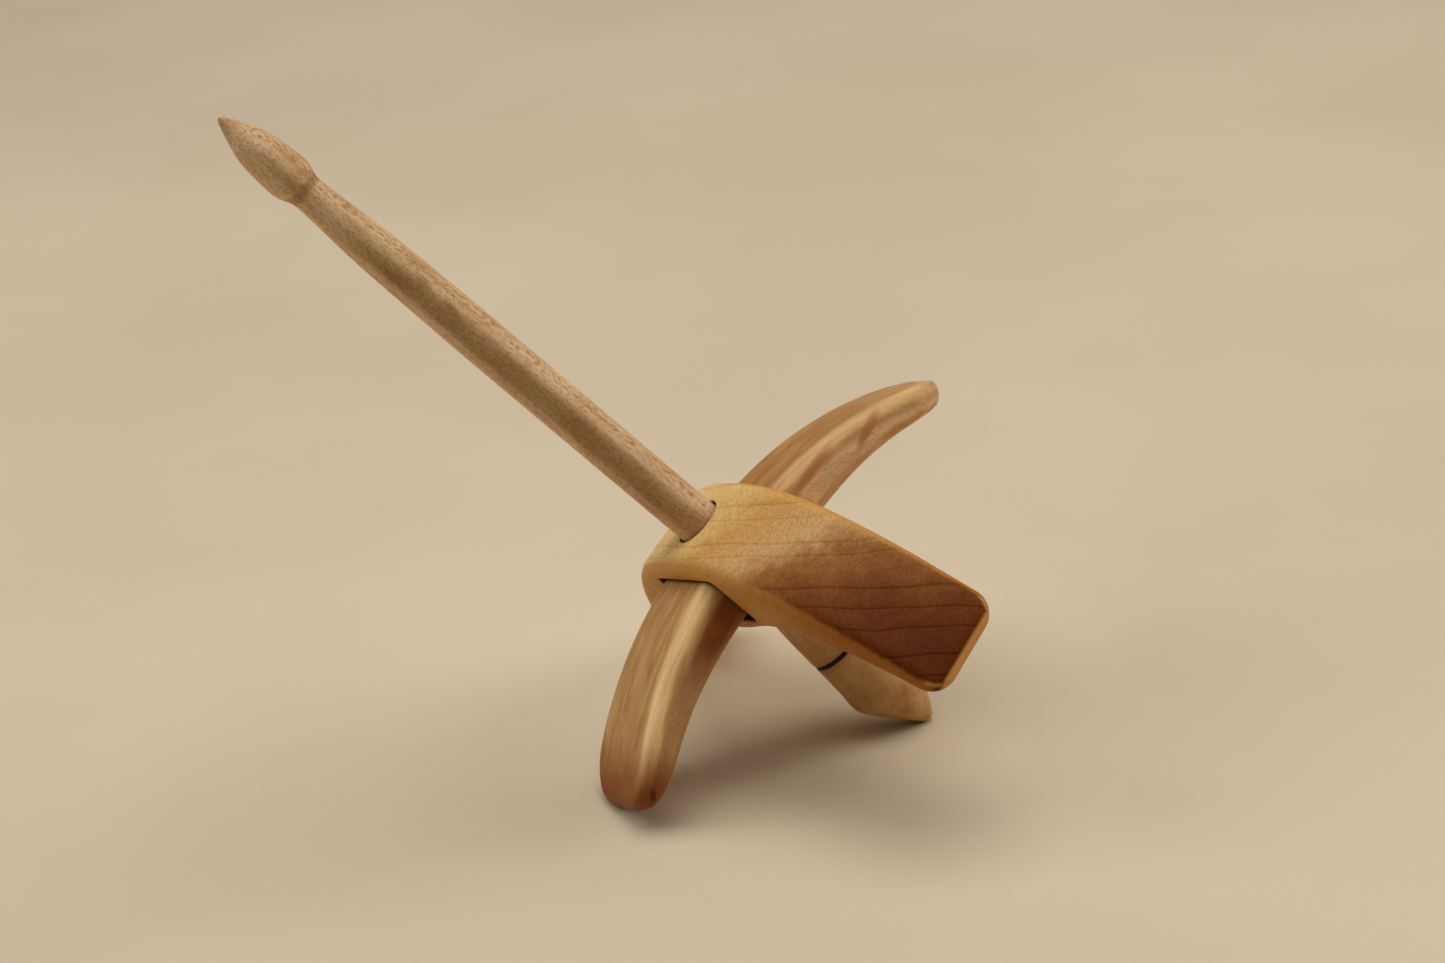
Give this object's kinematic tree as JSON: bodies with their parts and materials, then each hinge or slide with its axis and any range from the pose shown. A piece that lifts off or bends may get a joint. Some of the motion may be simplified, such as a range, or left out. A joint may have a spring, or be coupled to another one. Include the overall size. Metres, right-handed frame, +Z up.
{
  "type": "drop spindle",
  "caption": "Turkish drop spindle: a turned tapered shaft with a spear head and pointed foot, and crossed curved arms that slide off it, lying on its foot and arm ends.",
  "frame": {"origin": "on the floor, under the middle of the spindle's footprint as it lies at rest on the shaft's foot, one end of the inner arm and one end of the outer arm", "axes": "+Z up; +X along the floor under the leaning shaft, towards its head; +Y completes the right-handed set"},
  "size_m": [0.0894, 0.0762, 0.097],
  "materials": {
    "shaft_wood": "satin oiled, pale maple",
    "outer_arm_wood": "satin oiled, golden sapwood and red-brown heartwood",
    "inner_arm_wood": "satin oiled, golden brown"
  },
  "bodies": {
    "shaft": {"shaft": "shaft_wood"},
    "outer_arm": {"outer_arm": "outer_arm_wood"},
    "inner_arm": {"inner_arm": "inner_arm_wood"}
  },
  "joints": [
    {"name": "outer_arm_slide", "type": "slide", "parent": "shaft", "child": "outer_arm", "axis": [0.6517, 0, 0.7585], "range_m": [0, 0.098]},
    {"name": "inner_arm_slide", "type": "slide", "parent": "shaft", "child": "inner_arm", "axis": [0.6517, 0, 0.7585], "range_m": [0, 0.098]}
  ],
  "couplings": [
    {"joint": "inner_arm_slide", "follows": "outer_arm_slide", "ratio": 1}
  ]
}
